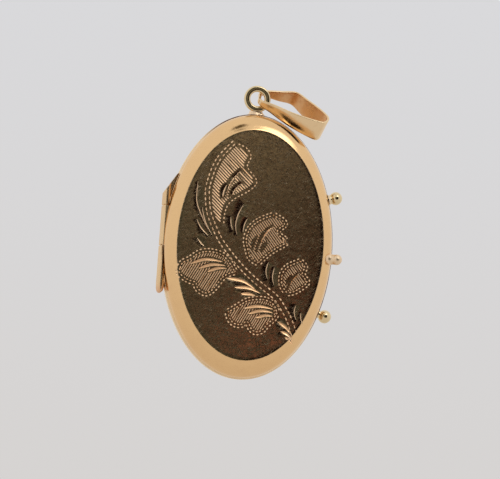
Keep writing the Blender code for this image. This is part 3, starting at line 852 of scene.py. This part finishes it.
def catch(cover, side, material):
    """Low rounded ridge that the cover's edge clicks over."""
    low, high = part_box("frame_catch_" + cover)
    base = high.y if side < 0 else low.y
    middle_x = 0.5 * (low.x + high.x)
    rings = []
    for step in range(25):
        along = -cos(pi * step / 24)
        size = max(0.05, (1.0 - along ** 8)) ** 0.5
        z = 0.5 * (low.z + high.z) + 0.5 * (high.z - low.z) * along
        ring = []
        for i in range(13):
            angle = pi * i / 12
            ring.append(Vector((middle_x + 0.5 * (high.x - low.x) * size * cos(angle),
                                base + side * (high.y - low.y) * size * sin(angle), z)))
        rings.append(ring)
    name = cover + "_snap_ridge"
    add_piece(name, loft(name, rings), material, "frame", "frame_catch_" + cover)


# --- Hinges

def slant_wedge():
    """Wedge above the line to which the upper knuckles are filed."""
    along = (SLANT_HIGH - SLANT_LOW).normalized()
    away = Vector((-along.z, 0.0, along.x))
    low, high = SLANT_LOW - along * MM, SLANT_HIGH + along * MM
    corners = [low, high, high + away * 4 * MM, low + away * 4 * MM]
    return loft("slant", [[corner + AWAY * y for corner in corners] for y in SLAB])


def outline_room(body, side):
    """The volume of the frame or of a cover, which a hinge web stops at."""
    if body == "frame":
        margin = FRAME_LIP + 0.5 * GAP
        return loft("room", [oval(COVER_HALF_WIDTH + margin, COVER_HALF_HEIGHT + margin, y)
                             for y in SLAB])
    return loft("room", bevel_rings(side, 12, BEVEL_DEPTH, margin=0.5 * GAP))


def barrel_end(z, taper, inward):
    """Rounded outer corner of a barrel's end; inward is the way into the barrel."""
    return [(z + inward * taper[1] * (1.0 - sin(angle)),
             KNUCKLE_RADIUS - taper[0] * (1.0 - cos(angle))) for angle in quarter(8)]


def knuckle(node, piece, body, cover, side, material, taper):
    """Barrel round the hinge's axis, with a web that runs into its body."""
    low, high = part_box(node)
    axis = HINGES[cover + "_cover"]
    origin = Vector((axis.x, axis.y, 0.0))
    top = HINGE_TOP if "upper" in node else high.z
    profile = barrel_end(low.z, taper, 1.0)[::-1] + barrel_end(top, BLUNT_TAPER, -1.0)
    profile += [(top, BORE_RADIUS), (low.z, BORE_RADIUS)]
    barrel = add_piece(piece, turned(piece, origin, UP, profile, 64, closed=True), material, body,
                       node)
    inner, outer = WEB_DEPTHS["frame" if body == "frame" else "cover"]
    y_low, y_high = sorted((MIDDLE_Y + side * inner, MIDDLE_Y + side * outer))
    web_start = low.z + taper[1] * 0.5
    web = block("web", Vector((axis.x, y_low, web_start)),
                Vector((axis.x + WEB_REACH, y_high, top)))
    combine(barrel, web, "UNION")
    combine(barrel, outline_room(body, side))
    bore = [(low.z - MM, BORE_RADIUS), (top + MM, BORE_RADIUS)]
    combine(barrel, turned("bore", origin, UP, bore, 64))
    if "upper" in node:
        combine(barrel, slant_wedge())


def hinge(cover, side, material):
    """Three knuckles, the middle one on the cover, and the pin that runs through them."""
    for node, piece, body, taper in (("upper", "upper", "frame", BLUNT_TAPER),
                                     ("cover", "middle", cover + "_cover", BLUNT_TAPER),
                                     ("lower", "lower", "frame", TAIL_TAPER)):
        knuckle(f"{cover}_hinge_{node}_knuckle", f"{cover}_{piece}_hinge_knuckle", body, cover,
                side, material, taper)
    node = cover + "_hinge_pin"
    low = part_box(node)[0].z
    axis = HINGES[cover + "_cover"]
    profile = [(low + 0.08 * MM * (1.0 - cos(angle)),
                PIN_RADIUS * max(0.12, sin(angle))) for angle in quarter(5)]
    profile.append((HINGE_TOP, PIN_RADIUS))
    piece = cover + "_hinge_rod"
    pin = add_piece(piece, turned(piece, Vector((axis.x, axis.y, 0.0)), UP, profile, 48), material,
                    "frame", node)
    combine(pin, slant_wedge())


# --- Ring, bail and knobs

def hanging_ring(material):
    """Wire ring, its front and back worn a little flat."""
    low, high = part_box("frame_ring")
    wire = 0.5 * (high.y - low.y)
    radius = 0.5 * (high.x - low.x) - wire - RING_WEAR
    wire += RING_WEAR
    centre = 0.5 * (low + high)
    rings = []
    for angle in full_turn(120):
        out = Vector((cos(angle), 0.0, sin(angle)))
        ring = []
        for turn in full_turn(40):
            across, deep = cos(turn), sin(turn)
            size = wire / (abs(across) ** RING_SQUARENESS
                           + abs(deep) ** RING_SQUARENESS) ** (1 / RING_SQUARENESS)
            ring.append(centre + out * (radius + size * across)
                        + AWAY * size * RING_FLATNESS * deep)
        rings.append(ring)
    add_piece("hanging_ring", loft("hanging_ring", rings, closed=True), material, "frame",
              "frame_ring")


def solder_foot(material):
    """Run of solder that saddles the frame's edge and climbs the ring."""
    low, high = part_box("frame_ring_foot")
    middle_y = 0.5 * (low.y + high.y)
    rings = []
    for step in range(13):
        rise = step / 12
        spread = 1.0 - 0.35 * sin(0.5 * pi * rise)
        ring = []
        for turn in full_turn(48):
            ripple = 1.0 + 0.05 * sin(3.0 * turn + 5.0 * rise) + 0.03 * sin(7.0 * turn)
            x = high.x * FOOT_SPREAD * spread * ripple * cos(turn)
            y = middle_y + (high.y - middle_y) * spread ** 0.5 * ripple * sin(turn)
            edge = (COVER_HALF_HEIGHT + FRAME_LIP) * sqrt(
                1.0 - (x / (COVER_HALF_WIDTH + FRAME_LIP)) ** 2)
            ring.append(Vector((x, y, edge - FOOT_SINK + rise * (high.z - low.z + 0.06 * MM))))
        rings.append(ring)
    add_piece("ring_solder_foot", loft("ring_solder_foot", rings), material, "frame",
              "frame_ring_foot", 60.0)


def closed_curve(points, steps):
    """Points of a smooth closed curve through the given ones."""
    curve = []
    count = len(points)
    for i in range(count):
        p, q, r, s = (Vector(points[(i + k) % count]) for k in (-1, 0, 1, 2))
        for step in range(steps):
            t = step / steps
            curve.append(0.5 * (2 * q + (r - p) * t + (2 * p - 5 * q + 4 * r - s) * t ** 2
                                + (3 * q - p - 3 * r + s) * t ** 3))
    return curve


def strip_section(wide):
    """Half of a strip's rounded section, outer side: across the strip, and off its middle."""
    edge = [(BAIL_EDGE * (1.0 - cos(angle)) - wide, BAIL_HALF_THICKNESS * sin(angle))
            for angle in quarter(4)[:-1]]
    flat = [((BAIL_EDGE - wide) * (1.0 - 2.0 * i / 6), BAIL_HALF_THICKNESS) for i in range(7)]
    return edge + flat + [(-w, t) for w, t in reversed(edge)]


def bail(outside, inside_material):
    """Tapered strip bent into a long loop through the ring."""
    along = Vector((cos(BAIL_TILT), 0.0, -sin(BAIL_TILT)))
    upward = Vector((sin(BAIL_TILT), 0.0, cos(BAIL_TILT)))
    rear = cos(BAIL_TWIST) * AWAY + sin(BAIL_TWIST) * upward
    across = -sin(BAIL_TWIST) * AWAY + cos(BAIL_TWIST) * upward
    low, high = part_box("frame_ring")
    radius = 0.5 * (high.x - low.x) - 0.5 * (high.y - low.y)
    wire = 0.5 * (low + high) + radius * Vector((cos(BAIL_WIRE_ANGLE), 0.0,
                                                 -sin(BAIL_WIRE_ANGLE)))
    loop = [point * MM for point in closed_curve(BAIL_LOOP, 16)]
    near = min(point.x for point in loop)
    far = max(point.x for point in loop)
    rings = []
    for i, point in enumerate(loop):
        ahead = (loop[(i + 1) % len(loop)] - loop[i - 1]).normalized()
        outward = along * -ahead.y + rear * ahead.x
        share = ((point.x - near) / (far - near)) ** BAIL_FLARE
        wide = BAIL_HALF_WIDTHS[0] + (BAIL_HALF_WIDTHS[1] - BAIL_HALF_WIDTHS[0]) * share
        half = strip_section(wide)
        section = half + [(-w, -t) for w, t in half[1:-1]]
        centre = wire + along * point.x + rear * point.y
        rings.append([centre + across * w + outward * t for w, t in section])
    strip = add_piece("folded_bail", loft("folded_bail", rings, closed=True),
                      [outside, inside_material], "bail", "bail_loop", 50.0)
    middle = wire + along * 0.5 * (near + far)
    for face in strip.data.polygons:
        flat = abs(face.normal.dot(across)) < 0.5
        spoke = face.center - middle
        spoke -= across * spoke.dot(across)
        face.material_index = 1 if flat and face.normal.dot(spoke) < 0.0 else 0


def knob(node, spec, material, solder):
    """Ball on a stem that flares into its solder, square to the oval's edge."""
    body, z, y, lean, reach, margin, ball, neck_radius = spec
    solder_radius = neck_radius + SOLDER_FLARE
    half_width = COVER_HALF_WIDTH + margin
    half_height = COVER_HALF_HEIGHT + margin
    x = half_width * sqrt(1.0 - (z / half_height) ** 2)
    outward = Vector((x / half_width ** 2, 0.0, z / half_height ** 2)).normalized()
    axis = cos(lean) * outward + sin(lean) * AWAY
    profile = [(-KNOB_ROOT, solder_radius), (0.0, solder_radius)]
    for angle in quarter(8)[1:]:
        profile.append((SOLDER_HEIGHT * sin(angle) ** 1.5,
                        neck_radius + SOLDER_FLARE * cos(angle) ** 2))
    neck = asin(neck_radius / ball)
    for step in range(33):
        angle = neck + (pi - neck) * step / 32
        radius = max(ball * sin(angle), 0.01 * MM)
        profile.append((reach - ball * cos(angle), radius))
    profile = [point for i, point in enumerate(profile) if i == 0 or point[0] > profile[i - 1][0]]
    piece = node.replace("knob", "ball_knob")
    root = Vector((x, MIDDLE_Y + y, z))
    obj = add_piece(piece, turned(piece, root, axis, profile, 48), [material, solder], body,
                    node, 40.0)
    for face in obj.data.polygons:
        face.material_index = 1 if (face.center - root).dot(axis) < SOLDER_EDGE else 0
    side = 1.0 if body == "back_cover" else -1.0
    combine(obj, outline_room("frame" if body == "frame" else body, side), angle=40.0)


# --- Stage

def world_light():
    """A bright tent with a dark gap in front, which the flat face mirrors."""
    world = bpy.data.worlds.new("tent")
    bpy.context.scene.world = world
    world.use_nodes = True
    nodes = Nodes(world.node_tree)
    background = world.node_tree.nodes["Background"]
    x, y, z = nodes.split(nodes.add("ShaderNodeTexCoord").outputs["Generated"])

    def spot(centre_x, centre_z, half_x, half_z, core):
        """An oval of directions in front: 1 inside its core, 0 outside."""
        across = nodes.times(nodes.math("SUBTRACT", x, centre_x), 1.0 / half_x)
        upward = nodes.times(nodes.math("SUBTRACT", z, centre_z), 1.0 / half_z)
        square = nodes.plus(nodes.times(across, across), nodes.times(upward, upward))
        within = nodes.ramp(nodes.math("SQRT", square), core, 1.0, 1.0, 0.0)
        return nodes.times(within, nodes.math("LESS_THAN", y, 0.0))

    # A lamp high on the right, a dark patch that the top of the bevel mirrors, then the gap:
    # olive to the left, brown to the right, paler above and redder below
    tent = nodes.mix(nodes.ramp(z, -1.0, 0.6), (0.74, 0.70, 0.66), (0.90, 0.89, 0.88))
    tent = nodes.mix(spot(0.33, 0.60, 0.30, 0.20, 0.5), tent, (3.0, 3.0, 2.9))
    tent = nodes.mix(spot(-0.11, 0.81, 0.13, 0.09, 0.6), tent, (0.12, 0.10, 0.06))
    dark = nodes.mix(nodes.ramp(x, 0.12, 0.19), (0.062, 0.064, 0.050), (0.004, 0.0, 0.0))
    dark = nodes.mix(spot(0.14, 0.18, 0.14, 0.06, 0.3), dark, (0.270, 0.245, 0.190))
    dark = nodes.mix(spot(0.175, 0.04, 0.05, 0.04, 0.3), dark, (0.400, 0.185, 0.135))
    tent = nodes.mix(spot(0.156, 0.08, 0.56, 0.50, 0.80), tent, dark)
    seen = nodes.add("ShaderNodeLightPath").outputs["Is Camera Ray"]
    # Behind the locket the camera sees a pale backdrop with painted light falloff: paler and cooler
    # above, darker and warmer below
    paper = nodes.mix(nodes.ramp(z, -0.12, 0.28), (0.70, 0.675, 0.655), (0.735, 0.735, 0.755))
    nodes.fill(background, Color=nodes.mix(seen, tent, paper), Strength=0.95)


def studio():
    """Pale floor that shows only from above, and one large soft lamp."""
    floor_z = BAND_LOW.z - 0.02 * MM
    mesh = bpy.data.meshes.new("studio_floor")
    mesh.from_pydata([(x, y, floor_z) for x, y in ((-3, -3), (3, -3), (3, 3), (-3, 3))], [],
                     [(0, 1, 2, 3)])
    floor = show(bpy.data.objects.new("studio_floor", mesh))
    material, nodes, shader = new_material("studio_paper")
    nodes.fill(shader, Base_Color=(0.80, 0.80, 0.81), Roughness=0.9)
    mixer = nodes.add("ShaderNodeMixShader")
    below = nodes.add("ShaderNodeNewGeometry").outputs["Backfacing"]
    clear = nodes.add("ShaderNodeBsdfTransparent").outputs[0]
    for socket, value in zip(mixer.inputs, (below, shader.outputs[0], clear)):
        nodes.put(value, socket)
    nodes.fill(material.node_tree.nodes["Material Output"], Surface=mixer.outputs[0])
    mesh.materials.append(material)
    floor.visible_glossy = False
    lamp = bpy.data.lights.new("softbox", "AREA")
    lamp.size = 0.25
    lamp.energy = 0.55
    softbox = show(bpy.data.objects.new("softbox", lamp))
    softbox.location = (-0.10, -0.12, 0.38)
    softbox.rotation_euler = (-softbox.location).to_track_quat("-Z", "Y").to_euler()
    softbox.visible_glossy = False


def camera():
    """Low and a little to the left, tipped so that the locket leans to the right."""
    azimuth, elevation, roll = radians(-9.0), radians(-6.0), radians(4.0)
    distance = 300 * MM
    frame_width = 64.15 * MM
    back = Vector((sin(azimuth) * cos(elevation),
                   -cos(azimuth) * cos(elevation), sin(elevation)))
    level = Vector((0, 0, 1)).cross(back).normalized()
    upright = back.cross(level)
    right = cos(roll) * level + sin(roll) * upright
    up = cos(roll) * upright - sin(roll) * level
    # The locket stands a little left of the picture's middle and below it
    aim = Vector((0.0, MIDDLE_Y, 0.0)) + right * 0.39 * MM + up * 0.90 * MM
    data = bpy.data.cameras.new("camera")
    data.lens = data.sensor_width * distance / frame_width
    data.clip_start = 0.01
    data.clip_end = 10.0
    obj = show(bpy.data.objects.new("camera", data))
    turn = Matrix((right, up, back)).transposed().to_4x4()
    obj.matrix_world = Matrix.Translation(aim + back * distance) @ turn
    bpy.context.scene.camera = obj


def dress_solids(finishes):
    """Finish every solid that is still shown."""
    for name, obj in frame["nodes"].items():
        if obj.hide_render:
            continue
        kind = next(key for key in finishes if key in name)
        obj.data.materials.clear()
        obj.data.materials.append(finishes[kind])


YELLOW = gold("yellow_gold", (0.84, 0.555, 0.28), 0.10, wear=0.5)
FACE = gold("worn_face_gold", (0.85, 0.61, 0.37), 0.11, wear=0.8, grain=2.0, scuffs=0.28)
BACK = gold("worn_back_gold", (0.84, 0.59, 0.32), 0.13, wear=0.9, grain=1.2, scuffs=0.10)
CUT = gold("bright_cut_gold", (0.88, 0.60, 0.37), 0.20, wear=0.2, grain=0.5)
STROKE = gold("broad_cut_gold", (0.70, 0.42, 0.225), 0.22, wear=0.2, grain=0.5)
KNOB = gold("knob_gold", (0.78, 0.63, 0.38), 0.12, wear=0.6)
SATIN = gold("satin_knob_gold", (0.86, 0.66, 0.44), 0.36, wear=0.8)
PALE = gold("pale_gold", (0.87, 0.65, 0.39), 0.12, wear=0.6)
HINGE = gold("hinge_gold", (0.84, 0.60, 0.34), 0.27, tail=(0.82, 0.50, 0.29))
SOLDER = gold("solder", (0.90, 0.68, 0.46), 0.24, grain=2.0)
COPPER = gold("coppery_inside", (0.74, 0.44, 0.21), 0.26, wear=1.8, tint=(0.66, 0.27, 0.10))
BRASS = gold("divider_brass", (0.62, 0.44, 0.20), 0.30, wear=1.5)

cover_shell("front", -1.0, [YELLOW, CUT, FACE, STROKE], flower_spray())
cover_shell("back", 1.0, [YELLOW, CUT, BACK], [])
for cover, side in (("front", -1.0), ("back", 1.0)):
    seat_ring(cover, side, PALE)
    retaining_rim(cover, cover + "_cover", PALE)
    retaining_rim("frame_" + cover, "frame", PALE)
    catch(cover, side, PALE)
    hinge(cover, side, HINGE)
centre_band(PALE, seam_shade())
hanging_ring(KNOB)
solder_foot(SOLDER)
bail(PALE, COPPER)
for node, spec in KNOBS.items():
    knob(node, spec, SATIN if node == "front_knob" else KNOB, SOLDER)
dress_solids({"card": card(), "window": window(), "divider": BRASS})
world_light()
studio()
camera()
bpy.context.scene.view_settings.view_transform = "Standard"
